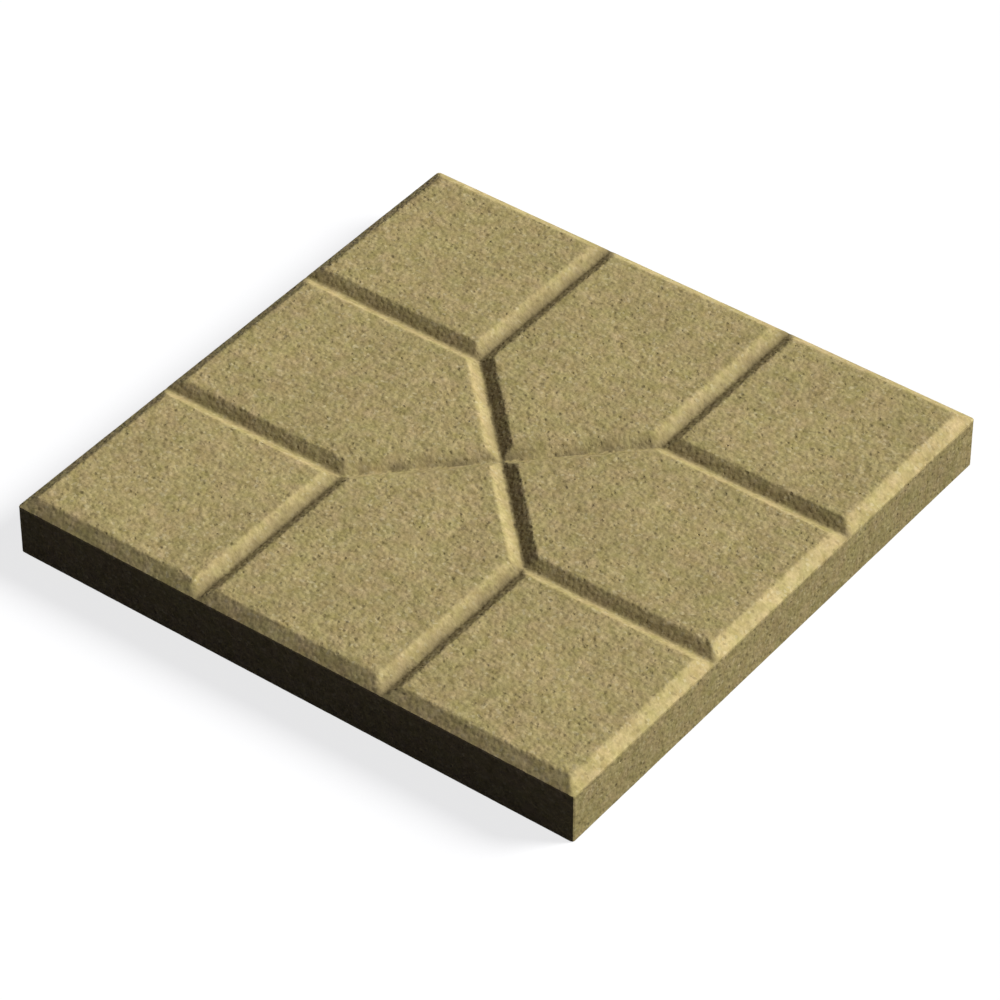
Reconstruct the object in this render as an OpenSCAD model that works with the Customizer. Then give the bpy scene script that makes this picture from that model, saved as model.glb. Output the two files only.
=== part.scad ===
// Concrete paving slab, cast in one piece: a square plate whose walking face carries eight raised tiles,
// four squares in the corners and four five-sided ones between them that point at the middle.
// V-shaped grooves with a rounded root part the tiles, and a like flank slopes down to the slab's own edge.
// Lengths in millimetres. The slab lies on its back on z = 0, centred on the z axis.

/* [Slab] */
// Side of the square slab
slab_side = 300; // [240:10:600]
// Thickness from the back to the tops of the tiles
slab_thickness = 30; // [20:1:80]
// Radius of the four upright corner edges
corner_radius = 1.5; // [0.5:0.5:5]

/* [Walking face] */
// Side of a square corner tile, from the slab's edge to the middle of the groove
corner_tile_side = 100; // [60:1:108]
// Depth of the grooves below the tops of the tiles
groove_depth = 3.8; // [2:0.2:8]
// Drop from the tops of the tiles to the slab's own edge
edge_drop = 4; // [2:0.2:8]
// Width in plan of the sloped flank round each tile
flank_width = 6.4; // [4:0.2:12]
// Radius of the soft arris between a flank and the top of its tile
arris_radius = 2.5; // [1:0.5:8]
// Radius of the rounded root of a groove
root_radius = 1.5; // [0.5:0.5:5]

/* [Hidden] */
concrete_colour = [0.63, 0.57, 0.40];
// Straight steps that draw each round edge
arris_steps = 4;
root_steps = 3;
corner_steps = 4;
// Half the gap between two corner tiles, which the five-sided tile fills
half_gap = slab_side / 2 - corner_tile_side;
// Height of the bottom of the grooves
groove_level = slab_thickness - groove_depth;
// Slope of the straight flank along the slab's edge
edge_slope = atan2(edge_drop, flank_width);
// Depth of the centre of a root's round below the tops of the tiles
root_centre = groove_depth - root_radius;
// Slope of a flank that leaves its rounded root and reaches the top at the same width
groove_slope = atan2(root_centre, flank_width) + asin(root_radius / norm([flank_width, root_centre]));
// Turn between two steps of the root, and where two steps meet, measured from the centre of the round
root_turn = groove_slope / root_steps;
root_knee = root_radius / cos(root_turn / 2);
// Where a tile's lowest step runs on below the bottom of the groove, a little way from the groove line
tile_foot = root_knee * sin(root_turn / 2) / 2;
foot_drop = groove_depth + tile_foot * tan(root_turn);
// Depth to which a tile runs down into the plate
tile_body = slab_thickness / 2;
// Length that reaches right across the slab from any edge of a tile
reach = 2 * slab_side;
// Depth to which the flank of the slab's edge runs down outside the slab
edge_base = edge_drop + reach * tan(edge_slope);

slab_outline = [
  for (turn = [0 : 90 : 270], step = [0 : corner_steps])
    let (
      angle = turn + 90 * step / corner_steps,
      centre = slab_side / 2 - corner_radius,
      side = [cos(turn) - sin(turn), sin(turn) + cos(turn)]
    )
    centre * side + corner_radius * [cos(angle), sin(angle)]
];

// Lines that flanks rise from, with the tile on their left: the slab's edge, and the grooves by each tile
slab_edge = [for (turn = [-45 : 90 : 315]) slab_side / 2 * sqrt(2) * [cos(turn), sin(turn)]];

square_tile = [
  [half_gap, slab_side],
  [half_gap, half_gap],
  [slab_side, half_gap]
];

pointed_tile = [
  [slab_side, half_gap],
  [half_gap, half_gap],
  [0, 0],
  [half_gap, -half_gap],
  [slab_side, -half_gap]
];

// Sections are square to a line: x runs from it into the tile, y up from the top of the tile.
// The top of a tile, and the arris that rounds it over into a flank of the given slope
function top_and_arris(slope) = concat(
  [[reach, 0]],
  [
    for (step = [0 : arris_steps])
      let (
        angle = slope * step / arris_steps,
        inset = flank_width + arris_radius * tan(slope / 2)
      )
      [inset - arris_radius * sin(angle), -arris_radius * (1 - cos(angle))]
  ]
);

edge_section = concat(
  top_and_arris(edge_slope),
  [[-reach, -edge_base], [reach, -edge_base]]
);

groove_section = concat(
  top_and_arris(groove_slope),
  [
    for (step = [root_steps : -1 : 2])
      let (angle = root_turn * (step - 1 / 2))
      [root_knee * sin(angle), -root_centre - root_knee * cos(angle)]
  ],
  [[tile_foot, -foot_drop], [tile_foot, -tile_body], [reach, -tile_body]]
);

// Everything to the left of a line and under the flanks that rise from it, each with the same section
module inside(line, section) {
  intersection_for (start = [0 : len(line) - 2]) {
    along = line[start + 1] - line[start];
    translate([line[start].x, line[start].y, slab_thickness])
      rotate([90, 0, atan2(along.y, along.x) + 90])
        linear_extrude(height = 2 * reach, center = true)
          polygon(section);
  }
}

module paving_slab() {
  color(concrete_colour)
    intersection() {
      linear_extrude(height = slab_thickness)
        polygon(slab_outline);
      inside(slab_edge, edge_section);
      union() {
        translate([-slab_side, -slab_side, 0])
          cube([2 * slab_side, 2 * slab_side, groove_level]);
        for (turn = [0 : 90 : 270])
          rotate(turn) {
            inside(square_tile, groove_section);
            inside(pointed_tile, groove_section);
          }
      }
    }
}

paving_slab();
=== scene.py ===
"""A concrete paving slab: one cast piece with a sandy, pored surface, on a pale floor under a soft lamp."""
import math
import random

import bmesh
import bpy
from mathutils import Matrix, Vector, noise


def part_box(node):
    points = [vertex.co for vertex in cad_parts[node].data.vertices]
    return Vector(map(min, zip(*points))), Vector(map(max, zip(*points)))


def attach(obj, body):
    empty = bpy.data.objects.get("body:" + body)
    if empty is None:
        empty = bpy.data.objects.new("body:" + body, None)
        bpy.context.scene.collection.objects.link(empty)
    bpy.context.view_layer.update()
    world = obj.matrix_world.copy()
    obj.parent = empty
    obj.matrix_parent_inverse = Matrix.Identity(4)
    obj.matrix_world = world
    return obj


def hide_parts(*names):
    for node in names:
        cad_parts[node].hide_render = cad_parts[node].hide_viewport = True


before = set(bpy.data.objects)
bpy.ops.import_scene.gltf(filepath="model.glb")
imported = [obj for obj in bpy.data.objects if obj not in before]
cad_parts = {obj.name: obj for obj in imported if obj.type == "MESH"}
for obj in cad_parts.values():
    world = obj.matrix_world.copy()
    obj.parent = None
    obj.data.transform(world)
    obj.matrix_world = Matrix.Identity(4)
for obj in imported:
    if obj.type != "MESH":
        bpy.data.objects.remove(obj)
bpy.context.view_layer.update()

# Sizes of the slab, in metres; the tile pattern is the construction's
MM = 0.001
NODE = "paving_slab"
slab_low, slab_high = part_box(NODE)
SLAB_SIDE = slab_high.x - slab_low.x
HALF_SIDE = SLAB_SIDE / 2
THICKNESS = slab_high.z - slab_low.z
CORNER_TILE_SIDE = 100 * MM
CORNER_BEVEL = 1.2 * MM
GROOVE_DEPTH = 3.8 * MM
EDGE_DROP = 4 * MM
FLANK_WIDTH = 6.4 * MM
ARRIS_RADIUS = 2.5 * MM
ROOT_RADIUS = 1.5 * MM
HALF_GAP = HALF_SIDE - CORNER_TILE_SIDE
GROOVE_LEVEL = THICKNESS - GROOVE_DEPTH
EDGE_LEVEL = THICKNESS - EDGE_DROP
ROOT_CENTRE = GROOVE_DEPTH - ROOT_RADIUS

# Slopes of the flanks: straight when laid out, then as they settle along the edge and by the grooves
PLAIN_SLOPE = math.atan2(GROOVE_DEPTH, FLANK_WIDTH)
EDGE_SLOPE = math.atan2(EDGE_DROP, FLANK_WIDTH)
GROOVE_SLOPE = math.atan2(ROOT_CENTRE, FLANK_WIDTH)
GROOVE_SLOPE += math.asin(ROOT_RADIUS / math.hypot(FLANK_WIDTH, ROOT_CENTRE))
ARRIS_OFFSET = ARRIS_RADIUS * math.tan(PLAIN_SLOPE / 2)
FLANK_TOP = THICKNESS - ARRIS_OFFSET * math.sin(PLAIN_SLOPE)
HIP_ROUNDING = 1.2 * MM
MOST_SETTLED = 0.9 * MM

# How finely the cast surface is divided, and how close counts as touching or as lying on a face
TILE_CUTS = 71
FLANK_CUTS = 5
SIDE_CUTS = 17
ARRIS_STEPS = 3
CORNER_STEPS = 2
BACK_CELLS = 40
BACK_MARGIN = 5 * MM
NEAR = 0.01 * MM
SKIN = 1 * MM
FACING_DOWN = -0.7
SMOOTH_BELOW = 40

# Relief of the cast surface: heights from trough to crest, and the width of the noise that makes them
SAND_HEIGHT = 0.6 * MM
SAND_WIDTH = 2.6 * MM
WAVE_HEIGHT = 0.6 * MM
WAVE_WIDTH = 28 * MM
NICK_HEIGHT = 0.08 * MM
NICK_WIDTH = 3.5 * MM
NICK_REACH = 4 * MM

# How far the sand stands out on each part of the slab, and the lengths over which that changes
BACK_SAND = 0.5
SIDE_SAND = 0.6
RIM_SAND = 0.2
RIM_FADE = 8 * MM
FLANK_SAND = 0.15
ARRIS_FADE = 5 * MM

# Groove flanks, by the way they face: how much smooth paste shows, and with it painted light, most on the
# flanks that face the lamp
FLANK_PASTE_AND_LIGHT = {
    (1, 0): 0.5,
    (1, 1): 1,
    (0, 1): 1,
    (-1, 1): 0.6,
    (-1, 0): 0,
    (-1, -1): 0,
    (0, -1): 0.65,
    (1, -1): 0,
}
PASTE_AND_LIGHT_DEPTH = 0.6 * MM
PASTE_AND_LIGHT_LOST_AT_ROOT = 0.4

# How much soil and painted shade they hold, by the way they face; on the flanks of one diagonal it lies in
# patches
FLANK_SOIL_AND_SHADE = {
    (1, 0): 1.2,
    (1, 1): 0.7,
    (0, 1): 0.6,
    (-1, 1): 0.2,
    (-1, 0): 1.3,
    (-1, -1): 1.4,
    (0, -1): 0.85,
    (1, -1): 1,
}
PATCHY_FLANK = (1, -1)
SOIL_AND_SHADE_PATCH = 9 * MM
SOIL_AND_SHADE_UNEVENNESS = 1.8

# Air holes: how many, the rim left round each inside its cell, and their depth
HOLE_SEED = 11
HOLES = ((50, 0.3 * MM, 0.15 * MM), (30, 0.27 * MM, 0.2 * MM), (12, 0.2 * MM, 0.3 * MM))
HOLE_PATCH = 16 * MM
HOLE_PATCH_LEVEL = 0.05
HOLE_CELL = 1.2 * MM ** 2

# The view of the photograph, measured from the middle of the slab at the top of its upright sides
VIEW_AZIMUTH = 37.02
VIEW_ELEVATION = 41.0
VIEW_DISTANCE = 2.2026
VIEW_RIGHT = -0.52 * MM
VIEW_UP = -16.64 * MM
SENSOR_WIDTH = 36
LENS_LENGTH = 180.6

# Light and floor
LAMP_STRENGTH = 5.17
LAMP_AZIMUTH = 43
LAMP_ELEVATION = 35.5
LAMP_SPREAD = 24
GLOW_STRENGTH = 0.043
GLOW_COLOUR = (0.84, 0.83, 1.8, 1)
WHITE = (1, 1, 1, 1)
FLOOR_SIZE = 12
FLOOR_GAP = 0.4 * MM
FLOOR_BOUNCE = (0.05, 0.05, 0.05, 1)
FLOOR_SHADE = (0.24, 0.24, 0.24, 1)
FLOOR_LIFT = 0.78

# Colours of the concrete, as linear light, and tints for its mottle and for painted shade in the hollows and
# painted light on the crests of its relief
SAND_COOL = (0.355, 0.298, 0.121, 1)
SAND_WARM = (0.383, 0.295, 0.136, 1)
GRAIN_LIGHT = (0.56, 0.49, 0.29, 1)
GRAIN_DARK = (0.15, 0.115, 0.055, 1)
# Darker and paler tints: random mottle, and painted shade and painted light on the hollows and crests of the
# relief
LOW_TINT_AND_HOLLOW_SHADE = (0.86, 0.86, 0.78, 1)
HIGH_TINT_AND_CREST_LIGHT = (1.12, 1.12, 1.2, 1)
PORE_SHADE = (0.09, 0.066, 0.03, 1)
# Painted shade, with soil, darkening the grooves towards their roots
GROOVE_SOIL_AND_SHADE = (0.19, 0.15, 0.07, 1)

# Widths of the patches, grains and pores in the concrete
HUE_PATCH = 9 * MM
TONE_PATCH = 22 * MM
MOTTLE_PATCH = 5 * MM
RELIEF_PATCH = 2.4 * MM
FINE_GRAIN = 1.1 * MM
COARSE_GRAIN = 1.4 * MM
GRIT_GRAIN = 2.4 * MM
PORE_SPACING = 3.2 * MM
PORE_WIDTH = 2.8 * MM

# How patches, grains and pores are drawn, in steps of their own width
CLOUD_LOW, CLOUD_HIGH = 0.3, 0.7
GRAIN_REACH = 0.8
PORE_SMALLEST, PORE_LARGEST = 0.25, 0.5
PORE_FLOOR, PORE_BRIM = 0.2, 1.2
PORE_RAGGED = (0.3, 0.3, 0.3)
RAGGED_SCALE = 3

# How strongly they show in the colour
SPECKLE = 0.1
TONE_SWING = 0.08
PAINTED_RELIEF_SHADING = 0.5
# Painted light: how much paler the flanks are drawn where the paste share is full
PAINTED_LIGHT_GAIN = 1.2
PALE_GRAINS_FROM = 0.9
DARK_GRAINS_FROM = 0.1
DARK_GRAINS = 0.4
SOIL_AND_SHADE_FROM, SOIL_AND_SHADE_TO = 0.2, 1.4
SOIL_AND_SHADE_COVER = 1.27
LEAST_SOIL_AND_SHADE = 0.5
# Painted shade in the pores
PORE_SHADE_SHARE = 0.3
PORES_IN_PASTE = 0.3

# How far they rise or fall, in millimetres, and how much of that shows in the paste
CLOUD_RISE = 0.2
GRIT_RISE = 0.3
FINE_RISE = 0.05
PORE_DROP = 0.4
PASTE_BUMP = 0.45

# Sheen of the surface
SPECULAR = 0.06
ROUGHEST, SMOOTHEST = 0.85, 0.6

# Finishes of the walking face, the sides and the back: shade, pale grains, share of pores, and bump; the
# sides' lower shade is painted shade
FINISHES = {
    "moulded concrete": (1, 0.4, 0.4, 0.68),
    # The sides are the same concrete drawn darker: painted shade
    "side concrete with painted shade": (0.735, 0.25, 0.5, 0.65),
    "struck concrete": (0.88, 0.55, 0.7, 1),
}


def pick(slab, kind, test):
    """Selects just the vertices, edges or faces of the slab that pass a test, in edit mode."""
    bpy.ops.mesh.select_mode(type=kind)
    bpy.ops.mesh.select_all(action="DESELECT")
    mesh = bmesh.from_edit_mesh(slab.data)
    parts = {"VERT": mesh.verts, "EDGE": mesh.edges, "FACE": mesh.faces}[kind]
    for part in parts:
        if test(part):
            part.select_set(True)
    mesh.select_flush_mode()
    bmesh.update_edit_mesh(slab.data)


def cut(point, normal):
    """Cuts the selected faces along a plane."""
    bpy.ops.mesh.bisect(plane_co=point, plane_no=normal, threshold=NEAR)


def tile_at(point):
    """Which of the eight tiles a point lies on: the signs of its x and y, with a 0 for a pointed tile."""
    x, y = point.x, point.y
    sign_x, sign_y = math.copysign(1, x), math.copysign(1, y)
    if abs(x) > HALF_GAP and abs(y) > HALF_GAP:
        return sign_x, sign_y
    return (sign_x, 0) if abs(x) > abs(y) else (0, sign_y)


def heights(edge):
    """Heights of an edge's two ends, the lower first."""
    return sorted(vert.co.z for vert in edge.verts)


def lay_out_tiles(slab):
    """Cuts the face along the groove lines, then raises each tile inside its sloped flanks."""
    for offset in (-HALF_GAP, HALF_GAP):
        for axis in (Vector((1, 0, 0)), Vector((0, 1, 0))):
            bpy.ops.mesh.select_all(action="SELECT")
            cut(axis * offset, axis)
    for diagonal in (Vector((1, 1, 0)), Vector((1, -1, 0))):
        pick(slab, "FACE", lambda face: max(map(abs, face.calc_center_median().xy)) < HALF_GAP)
        cut(Vector(), diagonal)
    tiles = [(x, y) for x in (-1, 0, 1) for y in (-1, 0, 1) if x or y]
    for tile in tiles:
        pick(slab, "FACE", lambda face: tile_at(face.calc_center_median()) == tile)
        bpy.ops.mesh.inset(thickness=FLANK_WIDTH, depth=GROOVE_DEPTH, use_even_offset=True)


def soften_arrises(slab):
    """Rounds the edges between the flanks and the tops of the tiles."""
    def is_arris(edge):
        tilts = sorted(face.normal.z for face in edge.link_faces)
        return heights(edge)[0] > THICKNESS - NEAR and tilts[0] < math.cos(PLAIN_SLOPE / 2)
    pick(slab, "EDGE", is_arris)
    bpy.ops.mesh.bevel(offset=ARRIS_OFFSET, segments=ARRIS_STEPS, profile=0.5, affect="EDGES")


def drop_sides(slab):
    """Runs the four upright sides down from the outer groove line to the back."""
    pick(slab, "EDGE", lambda edge: edge.is_boundary)
    bpy.ops.mesh.extrude_region_move(TRANSFORM_OT_translate={"value": (0, 0, -GROOVE_LEVEL)})


def divide(slab, test, cuts):
    """Divides the edges that pass a test into equal lengths."""
    pick(slab, "EDGE", test)
    bpy.ops.mesh.subdivide(number_cuts=cuts)


def divide_surface(slab):
    """Gives every face a grid of cells about a millimetre wide."""
    divide(slab, lambda edge: heights(edge)[1] - heights(edge)[0] < NEAR, TILE_CUTS)
    def climbs_flank(edge):
        low, high = heights(edge)
        return high - low > NEAR and low > GROOVE_LEVEL - NEAR and high < FLANK_TOP + NEAR
    divide(slab, climbs_flank, FLANK_CUTS)
    divide(slab, lambda edge: heights(edge)[0] < NEAR and heights(edge)[1] > NEAR, SIDE_CUTS)


def close_back(slab):
    """Lays a coarser grid for the back and joins it to the sides."""
    bpy.ops.object.mode_set(mode="OBJECT")
    bpy.ops.mesh.primitive_grid_add(
        x_subdivisions=BACK_CELLS, y_subdivisions=BACK_CELLS, size=SLAB_SIDE - 2 * BACK_MARGIN
    )
    slab.select_set(True)
    bpy.context.view_layer.objects.active = slab
    bpy.ops.object.join()
    bpy.ops.object.mode_set(mode="EDIT")
    for side in (Vector((1, 0, 0)), Vector((0, 1, 0)), Vector((-1, 0, 0)), Vector((0, -1, 0))):
        def borders_side(edge):
            near, far = sorted(vert.co.dot(side) for vert in edge.verts)
            return edge.is_boundary and far - near < NEAR and near > HALF_SIDE - BACK_MARGIN - NEAR
        pick(slab, "EDGE", borders_side)
        bpy.ops.mesh.bridge_edge_loops()
    bpy.ops.mesh.select_all(action="SELECT")
    bpy.ops.mesh.normals_make_consistent(inside=False)


def line_distances(point):
    """Plan distances from a point of the walking face to the groove lines round its tile."""
    across, along = sorted((abs(point.x), abs(point.y)))
    if across > HALF_GAP:
        return across - HALF_GAP, along - HALF_GAP
    return HALF_GAP - across, (along - across) / math.sqrt(2), (along + across) / math.sqrt(2)


def groove_distance(point):
    """Plan distance from a point of the walking face to the nearest groove line."""
    return min(line_distances(point))


def edge_distance(point):
    """Plan distance from a point to the slab's own edge."""
    return HALF_SIDE - max(abs(point.x), abs(point.y))


def on_sides(point):
    """Whether a point lies on the upright sides."""
    return edge_distance(point) < SKIN


def on_walking_face(point):
    """Whether a point lies on the tiles or their flanks."""
    return point.z >= EDGE_LEVEL - SKIN


def flank_depth(distance, slope):
    """How far a flank lies below the tile tops, at a plan distance from the line it rises from."""
    along = FLANK_WIDTH + ARRIS_RADIUS * math.tan(slope / 2) - distance
    if along <= 0:
        return 0
    if along < ARRIS_RADIUS * math.sin(slope):
        return ARRIS_RADIUS - math.sqrt(ARRIS_RADIUS ** 2 - along ** 2)
    return (FLANK_WIDTH - distance) * math.tan(slope)


def groove_depth(distance):
    """The same beside a groove, whose root is rounded."""
    if distance < ROOT_RADIUS * math.sin(GROOVE_SLOPE):
        return ROOT_CENTRE + math.sqrt(ROOT_RADIUS ** 2 - distance ** 2)
    return flank_depth(distance, GROOVE_SLOPE)


def surface_depth(point):
    """How far the walking face lies below the tile tops at a point, with rounded hips on the tiles."""
    depths = [groove_depth(distance) for distance in line_distances(point)]
    depths += [flank_depth(HALF_SIDE - abs(place), EDGE_SLOPE) for place in point.xy]
    second, deepest = sorted(depths)[-2:]
    if second == 0:
        return deepest
    rounding = min(HIP_ROUNDING, second)
    overlap = max(0, rounding - deepest + second)
    return deepest + overlap ** 2 / (4 * rounding)


def weigh(slab, name, weight_at):
    """Adds a vertex group whose weights follow from each vertex's place."""
    group = slab.vertex_groups.new(name=name)
    for vert in slab.data.vertices:
        weight = weight_at(vert.co)
        if weight > 0:
            group.add([vert.index], weight, "REPLACE")


def settle_flanks(slab):
    """Lowers the flanks from straight slopes to the steeper edge and the rounded grooves."""
    def share_settled(point):
        if point.z < GROOVE_LEVEL - NEAR:
            return 0
        return (point.z - THICKNESS + surface_depth(point)) / MOST_SETTLED
    weigh(slab, "settled", share_settled)
    settle = slab.modifiers.new("settle", "DISPLACE")
    settle.direction = "Z"
    settle.mid_level = 0
    settle.strength = -MOST_SETTLED
    settle.vertex_group = "settled"
    bpy.ops.object.modifier_apply(modifier=settle.name)


def round_corners(slab):
    """Takes the sharpness off the four upright corners."""
    def is_upright_corner(edge):
        return all(min(abs(vert.co.x), abs(vert.co.y)) > HALF_SIDE - NEAR for vert in edge.verts)
    pick(slab, "EDGE", is_upright_corner)
    bpy.ops.mesh.bevel(
        offset=CORNER_BEVEL, segments=CORNER_STEPS, profile=0.5, affect="EDGES", clamp_overlap=True
    )


def roughen(slab, name, height, width, weights):
    """Pushes the surface out and in by a cloudy noise, as far as a vertex group says."""
    clouds = bpy.data.textures.new(name, "CLOUDS")
    clouds.noise_scale = width
    clouds.noise_depth = 2
    push = slab.modifiers.new(name, "DISPLACE")
    push.texture = clouds
    push.texture_coords = "LOCAL"
    push.strength = height
    push.vertex_group = weights
    bpy.ops.object.modifier_apply(modifier=push.name)


def rim_distance(point):
    """Distance from a point of the upright sides to the nearest of their edges."""
    to_corner = HALF_SIDE - min(abs(point.x), abs(point.y))
    return min(point.z, abs(point.z - EDGE_LEVEL), to_corner)


def sand_share(point):
    """How far the sand stands out: most on the tile tops, less on sides and back, least on the flanks."""
    if on_sides(point):
        return min(SIDE_SAND, RIM_SAND + rim_distance(point) / RIM_FADE)
    if point.z < NEAR:
        return BACK_SAND
    inside_arris = min(groove_distance(point), edge_distance(point)) - FLANK_WIDTH
    return min(1, max(FLANK_SAND, FLANK_SAND + inside_arris / ARRIS_FADE))


def nick_share(point):
    """1 along the arrises, which wear unevenly, and less beside them."""
    if point.z < EDGE_LEVEL:
        return 0
    to_arris = min(abs(groove_distance(point) - FLANK_WIDTH), abs(edge_distance(point) - FLANK_WIDTH))
    return max(0, 1 - to_arris / NICK_REACH)


def may_hold_holes(point):
    """Whether air gathers at a point: in loose patches of the walking face and the sides."""
    return point.z > BACK_MARGIN and noise.noise(point / HOLE_PATCH) > HOLE_PATCH_LEVEL


def sound_cells(mesh):
    """Cells that may hold a hole. Those of the sides go by place, because their own order varies by run."""
    cells = []
    for face in mesh.faces:
        middle = face.calc_center_median()
        if face.calc_area() > HOLE_CELL and may_hold_holes(middle):
            cells.append((face.index, middle))
    by_place = sorted((tuple(middle), index) for index, middle in cells if middle.z < EDGE_LEVEL)
    side_cells = iter([index for place, index in by_place])
    return [next(side_cells) if middle.z < EDGE_LEVEL else index for index, middle in cells]


def press_holes(slab):
    """Leaves small air holes in the walking face and the sides, each inside one cell of the surface."""
    chance = random.Random(HOLE_SEED)
    for count, rim, depth in HOLES:
        mesh = bmesh.from_edit_mesh(slab.data)
        mesh.faces.ensure_lookup_table()
        holes = set(chance.sample(sound_cells(mesh), count))
        pick(slab, "FACE", lambda face: face.index in holes)
        bpy.ops.mesh.inset(thickness=rim, depth=-depth, use_individual=True)


def mark(slab, name, value_at):
    """Stores a number on each vertex, which follows from its place."""
    marks = slab.data.attributes.new(name, "FLOAT", "POINT")
    marks.data.foreach_set("value", [value_at(vert.co) for vert in slab.data.vertices])


def facing(point):
    """The way that the flank of a groove faces at a point, as the signs of its x and y."""
    wide, deep = abs(point.x), abs(point.y)
    sign_x, sign_y = math.copysign(1, point.x), math.copysign(1, point.y)
    if min(wide, deep) > HALF_GAP:
        return (-sign_x, 0) if wide < deep else (0, -sign_y)
    beside_square = HALF_GAP - min(wide, deep) < abs(wide - deep) / math.sqrt(2)
    if wide > deep:
        return (0, sign_y) if beside_square else (-sign_x, sign_y)
    return (sign_x, 0) if beside_square else (sign_x, -sign_y)


def soil_and_shade_held(point):
    """How much soil and painted shade a groove holds at a point: most at its root, none on the tile tops and
    the sides.
    """
    if not on_walking_face(point):
        return 0
    way = facing(point)
    patch = 1 + SOIL_AND_SHADE_UNEVENNESS * noise.noise(point / SOIL_AND_SHADE_PATCH) if way == PATCHY_FLANK else 1
    return FLANK_SOIL_AND_SHADE[way] * patch * groove_depth(groove_distance(point)) / GROOVE_DEPTH


def paste_and_light_share(point):
    """How much fine paste shows, and with it painted light: most along the slab's edge, save on its left,
    less in the grooves.
    """
    if not on_walking_face(point):
        return 0
    edge = flank_depth(edge_distance(point), EDGE_SLOPE)
    groove = groove_depth(groove_distance(point))
    if edge > groove:
        return 0 if point.x < -abs(point.y) else min(1, edge / PASTE_AND_LIGHT_DEPTH)
    shown = FLANK_PASTE_AND_LIGHT[facing(point)] * min(1, groove / PASTE_AND_LIGHT_DEPTH)
    return shown * (1 - PASTE_AND_LIGHT_LOST_AT_ROOT * groove / GROOVE_DEPTH)


def cast_slab():
    """The slab as one closed mesh, modelled from a flat square."""
    bpy.ops.object.select_all(action="DESELECT")
    bpy.ops.mesh.primitive_plane_add(size=SLAB_SIDE, location=(0, 0, GROOVE_LEVEL))
    slab = bpy.context.object
    slab.name = "cast_slab"
    bpy.ops.object.transform_apply(location=True)
    bpy.ops.object.mode_set(mode="EDIT")
    lay_out_tiles(slab)
    drop_sides(slab)
    soften_arrises(slab)
    divide_surface(slab)
    close_back(slab)
    bpy.ops.object.mode_set(mode="OBJECT")
    settle_flanks(slab)
    bpy.ops.object.mode_set(mode="EDIT")
    round_corners(slab)
    bpy.ops.object.mode_set(mode="OBJECT")
    weigh(slab, "nicked", nick_share)
    weigh(slab, "sanded", sand_share)
    roughen(slab, "nicks", NICK_HEIGHT, NICK_WIDTH, "nicked")
    roughen(slab, "waves", WAVE_HEIGHT, WAVE_WIDTH, "sanded")
    roughen(slab, "sand", SAND_HEIGHT, SAND_WIDTH, "sanded")
    bpy.ops.object.mode_set(mode="EDIT")
    press_holes(slab)
    bpy.ops.object.mode_set(mode="OBJECT")
    bpy.ops.object.vertex_group_remove(all=True)
    bpy.ops.object.shade_smooth_by_angle(angle=math.radians(SMOOTH_BELOW))
    # Painted shade towards the groove roots, stored with the soil
    mark(slab, "groove_soil_and_shade", soil_and_shade_held)
    # Painted light on the flanks, stored with the share of smooth paste
    mark(slab, "paste_and_painted_light", paste_and_light_share)
    return slab


def add(tree, kind, inputs=None, **settings):
    """A new shader node; each input takes a value, or the output that it is linked to."""
    node = tree.nodes.new(kind)
    for name, value in settings.items():
        setattr(node, name, value)
    for socket, value in (inputs or {}).items():
        if isinstance(value, bpy.types.NodeSocket):
            tree.links.new(value, node.inputs[socket])
        else:
            node.inputs[socket].default_value = value
    return node


def calculate(tree, operation, first, second):
    """The result of one sum on two numbers."""
    return add(tree, "ShaderNodeMath", {0: first, 1: second}, operation=operation).outputs[0]


def remap(tree, value, low, high, to_low, to_high, smooth=False):
    """A number carried from one range over to another, and held inside it."""
    inputs = {"Value": value, "From Min": low, "From Max": high, "To Min": to_low, "To Max": to_high}
    curve = "SMOOTHSTEP" if smooth else "LINEAR"
    return add(tree, "ShaderNodeMapRange", inputs, interpolation_type=curve).outputs["Result"]


def blend(tree, share, first, second, kind="MIX"):
    """Two colours blended."""
    inputs = {0: share, 6: first, 7: second}
    return add(tree, "ShaderNodeMix", inputs, data_type="RGBA", blend_type=kind).outputs[2]


def start_group(name, inputs, outputs):
    """A new shader node group with named sockets: its tree, what it is given and what it gives."""
    tree = bpy.data.node_groups.new(name, "ShaderNodeTree")
    for way, sockets in (("INPUT", inputs), ("OUTPUT", outputs)):
        for socket, kind in sockets.items():
            tree.interface.new_socket(name=socket, in_out=way, socket_type="NodeSocket" + kind)
    return tree, add(tree, "NodeGroupInput").outputs, add(tree, "NodeGroupOutput").inputs


def use_group(tree, name, inputs):
    """The outputs of a node group put to use."""
    return add(tree, "ShaderNodeGroup", inputs, node_tree=bpy.data.node_groups[name]).outputs


def in_units(tree, position, width):
    """A position counted in steps of some width."""
    scale = calculate(tree, "DIVIDE", 1, width)
    return add(tree, "ShaderNodeVectorMath", {0: position, "Scale": scale}, operation="SCALE").outputs[0]


def make_sand_grain():
    """Packed grains: a random tint for each, and its dome."""
    tree, given, gives = start_group(
        "sand grain", {"Position": "Vector", "Grain Width": "Float"}, {"Tint": "Float", "Dome": "Float"}
    )
    place = in_units(tree, given["Position"], given["Grain Width"])
    cells = add(tree, "ShaderNodeTexVoronoi", {"Vector": place, "Scale": 1})
    tint = add(tree, "ShaderNodeSeparateColor", {"Color": cells.outputs["Color"]})
    dome = remap(tree, cells.outputs["Distance"], 0, GRAIN_REACH, 1, 0, smooth=True)
    tree.links.new(tint.outputs["Red"], gives["Tint"])
    tree.links.new(dome, gives["Dome"])


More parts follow.
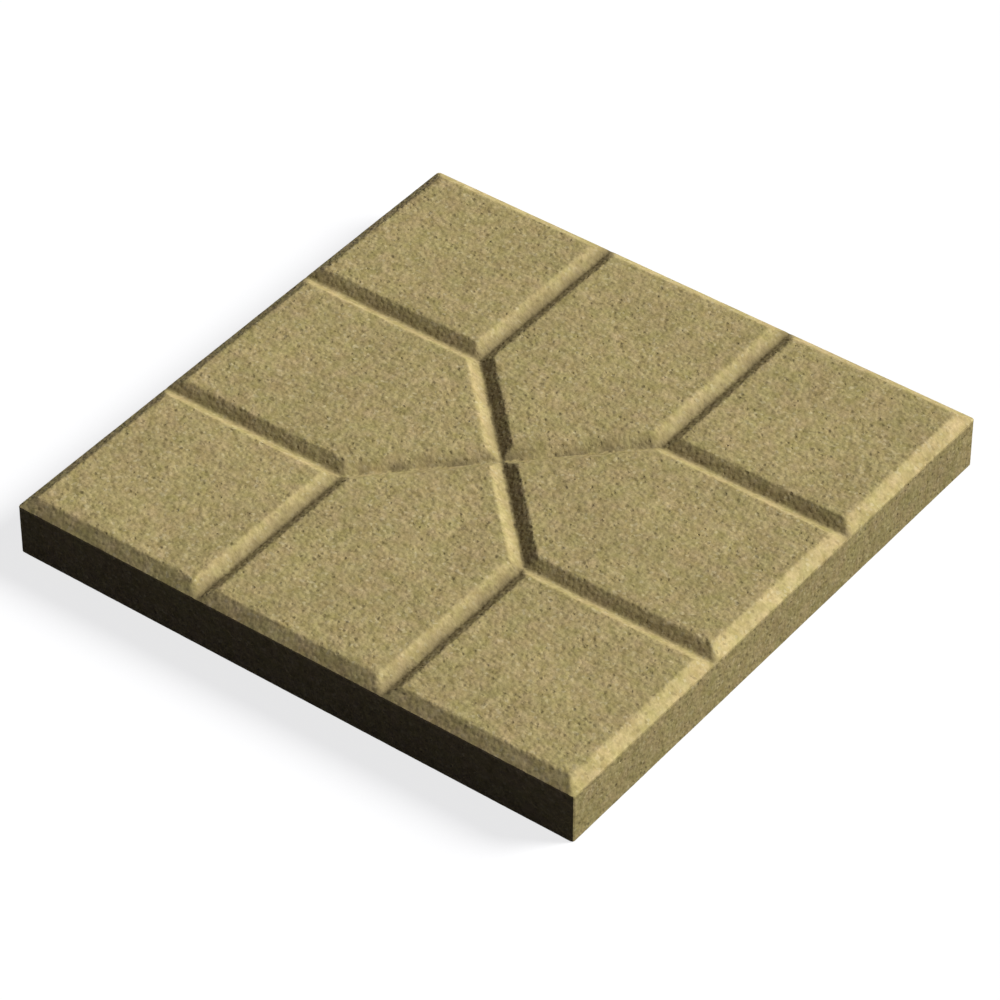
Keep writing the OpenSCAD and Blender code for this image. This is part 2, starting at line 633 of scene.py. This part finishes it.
def make_pores():
    """Scattered pores of uneven size and outline: 1 inside a pore."""
    tree, given, gives = start_group(
        "pores",
        {"Position": "Vector", "Spacing": "Float", "Pore Width": "Float", "Share": "Float"},
        {"Pore": "Float"},
    )
    place = in_units(tree, given["Position"], given["Spacing"])
    ragged = add(tree, "ShaderNodeTexNoise", {"Vector": place, "Scale": RAGGED_SCALE, "Detail": 1})
    bent = add(
        tree, "ShaderNodeVectorMath", {0: ragged.outputs["Color"], 1: PORE_RAGGED, 2: place},
        operation="MULTIPLY_ADD",
    )
    cells = add(tree, "ShaderNodeTexVoronoi", {"Vector": bent.outputs[0], "Scale": 1})
    chance = add(tree, "ShaderNodeSeparateColor", {"Color": cells.outputs["Color"]})
    size = remap(tree, chance.outputs["Green"], 0, 1, PORE_SMALLEST, PORE_LARGEST)
    widest = calculate(tree, "DIVIDE", given["Pore Width"], given["Spacing"])
    reach = calculate(tree, "MULTIPLY", size, widest)
    from_middle = calculate(tree, "DIVIDE", cells.outputs["Distance"], reach)
    inside = remap(tree, from_middle, PORE_FLOOR, PORE_BRIM, 1, 0, smooth=True)
    kept = calculate(tree, "LESS_THAN", chance.outputs["Red"], given["Share"])
    tree.links.new(calculate(tree, "MULTIPLY", inside, kept), gives["Pore"])


def make_drift():
    """Slow cloudy change over the slab, from 0 to 1."""
    tree, given, gives = start_group(
        "cloudy drift", {"Position": "Vector", "Patch Width": "Float"}, {"Drift": "Float"}
    )
    place = in_units(tree, given["Position"], given["Patch Width"])
    clouds = add(tree, "ShaderNodeTexNoise", {"Vector": place, "Scale": 1, "Detail": 2, "Roughness": 0.5})
    tree.links.new(remap(tree, clouds.outputs["Fac"], CLOUD_LOW, CLOUD_HIGH, 0, 1), gives["Drift"])


def concrete(name, shade, pale_grains, pore_share, bump):
    """Sand and cement: mixed grains, pores and drifting colour, with smooth paste and painted light on the
    flanks, and soil and painted shade in the grooves.
    """
    material = bpy.data.materials.new(name)
    material.use_nodes = True
    tree = material.node_tree
    position = add(tree, "ShaderNodeTexCoord").outputs["Object"]
    hue, tone, mottle, relief = [
        use_group(tree, "cloudy drift", {"Position": position, "Patch Width": width})["Drift"]
        for width in (HUE_PATCH, TONE_PATCH, MOTTLE_PATCH, RELIEF_PATCH)
    ]
    fine, coarse, grit = [
        use_group(tree, "sand grain", {"Position": position, "Grain Width": width})
        for width in (FINE_GRAIN, COARSE_GRAIN, GRIT_GRAIN)
    ]
    pores = use_group(
        tree, "pores",
        {"Position": position, "Spacing": PORE_SPACING, "Pore Width": PORE_WIDTH, "Share": pore_share},
    )
    soil_and_shade = add(tree, "ShaderNodeAttribute", attribute_name="groove_soil_and_shade").outputs["Fac"]
    paste_and_light = add(tree, "ShaderNodeAttribute", attribute_name="paste_and_painted_light").outputs["Fac"]
    pore = calculate(tree, "MULTIPLY", pores["Pore"], remap(tree, paste_and_light, 0, 1, 1, PORES_IN_PASTE))

    # Colour: sand, its speckle and mottle, pale and dark grains, painted light on the flanks, soil and
    # painted shade in the grooves, and painted shade on the relief and in the pores
    colour = blend(tree, hue, SAND_COOL, SAND_WARM)
    speckle = remap(tree, fine["Tint"], 0, 1, (1 - SPECKLE) * shade, (1 + SPECKLE) * shade)
    colour = blend(tree, 1, colour, speckle, "MULTIPLY")
    swing = remap(tree, tone, 0, 1, 1 - TONE_SWING, 1 + TONE_SWING)
    colour = blend(tree, 1, colour, swing, "MULTIPLY")
    colour = blend(tree, 1, colour, blend(tree, mottle, LOW_TINT_AND_HOLLOW_SHADE, HIGH_TINT_AND_CREST_LIGHT), "MULTIPLY")
    # Painted shade in the hollows and painted light on the crests of the bump relief
    colour = blend(tree, PAINTED_RELIEF_SHADING, colour, blend(tree, relief, LOW_TINT_AND_HOLLOW_SHADE, HIGH_TINT_AND_CREST_LIGHT), "MULTIPLY")
    # Painted light: the flanks that face the lamp, and the slab's edge, are drawn paler
    colour = blend(tree, 1, colour, remap(tree, paste_and_light, 0, 1, 1, PAINTED_LIGHT_GAIN), "MULTIPLY")
    pale = remap(tree, coarse["Tint"], PALE_GRAINS_FROM, 1, 0, pale_grains)
    colour = blend(tree, pale, colour, GRAIN_LIGHT)
    dark = remap(tree, coarse["Tint"], DARK_GRAINS_FROM, 0, 0, DARK_GRAINS)
    colour = blend(tree, dark, colour, GRAIN_DARK)
    # Painted shade and soil, darker towards the groove roots and on flanks facing away
    cover = remap(tree, soil_and_shade, SOIL_AND_SHADE_FROM, SOIL_AND_SHADE_TO, 0, SOIL_AND_SHADE_COVER)
    soiled_and_shaded = calculate(tree, "MULTIPLY", cover, remap(tree, hue, 0, 1, LEAST_SOIL_AND_SHADE, 1))
    colour = blend(tree, soiled_and_shaded, colour, GROOVE_SOIL_AND_SHADE)
    # Painted shade in the pores
    colour = blend(tree, calculate(tree, "MULTIPLY", pore, PORE_SHADE_SHARE), colour, PORE_SHADE)

    # Relief too fine for the mesh
    height = calculate(tree, "MULTIPLY", relief, CLOUD_RISE)
    height = calculate(tree, "ADD", height, calculate(tree, "MULTIPLY", grit["Dome"], GRIT_RISE))
    height = calculate(tree, "ADD", height, calculate(tree, "MULTIPLY", fine["Dome"], FINE_RISE))
    height = calculate(tree, "SUBTRACT", height, calculate(tree, "MULTIPLY", pore, PORE_DROP))
    strength = remap(tree, paste_and_light, 0, 1, bump, PASTE_BUMP * bump)
    uneven = add(tree, "ShaderNodeBump", {"Strength": strength, "Distance": MM, "Height": height})

    shader = tree.nodes["Principled BSDF"]
    shader.inputs["Specular IOR Level"].default_value = SPECULAR
    tree.links.new(colour, shader.inputs["Base Color"])
    roughness = remap(tree, coarse["Tint"], 0, 1, ROUGHEST, SMOOTHEST)
    tree.links.new(roughness, shader.inputs["Roughness"])
    tree.links.new(uneven.outputs["Normal"], shader.inputs["Normal"])
    return material


def finish_slab(slab):
    """Gives the walking face, the sides and the back their own finish of the same concrete, the sides drawn
    darker with painted shade.
    """
    make_sand_grain()
    make_pores()
    make_drift()
    for name, values in FINISHES.items():
        slab.data.materials.append(concrete(name, *values))
    bpy.ops.object.mode_set(mode="EDIT")
    pick(slab, "FACE", lambda face: not on_walking_face(face.calc_center_median()))
    slab.active_material_index = 1
    bpy.ops.object.material_slot_assign()
    pick(slab, "FACE", lambda face: face.normal.z < FACING_DOWN and face.calc_center_median().z < SKIN)
    slab.active_material_index = 2
    bpy.ops.object.material_slot_assign()
    bpy.ops.object.mode_set(mode="OBJECT")


def seen_directly(tree):
    """Output that is 1 for rays that show a surface as itself: straight, mirrored or through glass."""
    path = add(tree, "ShaderNodeLightPath").outputs
    seen = calculate(tree, "MAXIMUM", path["Is Camera Ray"], path["Is Glossy Ray"])
    return calculate(tree, "MAXIMUM", seen, path["Is Transmission Ray"])


def light_scene():
    """One soft lamp from the slab's right far corner, and a faint even glow from all round."""
    lamp = bpy.data.lights.new("key_lamp", "SUN")
    lamp.energy = LAMP_STRENGTH
    lamp.angle = math.radians(LAMP_SPREAD)
    key = bpy.data.objects.new("key_lamp", lamp)
    bpy.context.collection.objects.link(key)
    turn, rise = math.radians(LAMP_AZIMUTH), math.radians(LAMP_ELEVATION)
    towards = Vector((math.cos(turn) * math.cos(rise), math.sin(turn) * math.cos(rise), math.sin(rise)))
    key.rotation_euler = towards.to_track_quat("Z", "Y").to_euler()
    world = bpy.data.worlds.new("studio")
    bpy.context.scene.world = world
    world.use_nodes = True
    tree = world.node_tree
    tree.nodes.clear()
    glow = add(tree, "ShaderNodeBackground", {"Color": GLOW_COLOUR, "Strength": GLOW_STRENGTH})
    white = add(tree, "ShaderNodeBackground", {"Color": WHITE, "Strength": 1})
    inputs = {0: seen_directly(tree), 1: glow.outputs[0], 2: white.outputs[0]}
    shown = add(tree, "ShaderNodeMixShader", inputs)
    add(tree, "ShaderNodeOutputWorld", {"Surface": shown.outputs[0]})


def lay_floor():
    """A pale floor that shows white with a light shadow, and throws little light back."""
    bpy.ops.mesh.primitive_plane_add(size=FLOOR_SIZE, location=(0, 0, -FLOOR_GAP))
    floor = bpy.context.object
    floor.name = "floor"
    material = bpy.data.materials.new("pale_floor")
    material.use_nodes = True
    tree = material.node_tree
    tree.nodes.clear()
    dim = add(tree, "ShaderNodeBsdfDiffuse", {"Color": FLOOR_BOUNCE})
    pale = add(tree, "ShaderNodeBsdfDiffuse", {"Color": FLOOR_SHADE})
    lift = add(tree, "ShaderNodeEmission", {"Strength": FLOOR_LIFT})
    both = add(tree, "ShaderNodeAddShader", {0: pale.outputs[0], 1: lift.outputs[0]})
    inputs = {0: seen_directly(tree), 1: dim.outputs[0], 2: both.outputs[0]}
    shown = add(tree, "ShaderNodeMixShader", inputs)
    add(tree, "ShaderNodeOutputMaterial", {"Surface": shown.outputs[0]})
    floor.data.materials.append(material)


def aim_camera():
    """Looks down on the slab past its front corner, through a long lens."""
    lens = bpy.data.cameras.new("camera")
    lens.sensor_width = SENSOR_WIDTH
    lens.lens = LENS_LENGTH
    camera = bpy.data.objects.new("camera", lens)
    bpy.context.collection.objects.link(camera)
    turn, rise = math.radians(VIEW_AZIMUTH), math.radians(VIEW_ELEVATION)
    back = Vector((math.sin(turn) * math.cos(rise), -math.cos(turn) * math.cos(rise), math.sin(rise)))
    right = Vector((math.cos(turn), math.sin(turn), 0))
    up = back.cross(right)
    place = Vector((0, 0, EDGE_LEVEL)) + back * VIEW_DISTANCE + right * VIEW_RIGHT + up * VIEW_UP
    turned = Matrix((right, up, back)).transposed().to_4x4()
    camera.matrix_world = Matrix.Translation(place) @ turned
    bpy.context.scene.camera = camera


bpy.context.scene.view_settings.view_transform = "Standard"
aim_camera()
light_scene()
lay_floor()
slab = cast_slab()
finish_slab(slab)
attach(slab, "root")
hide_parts(NODE)
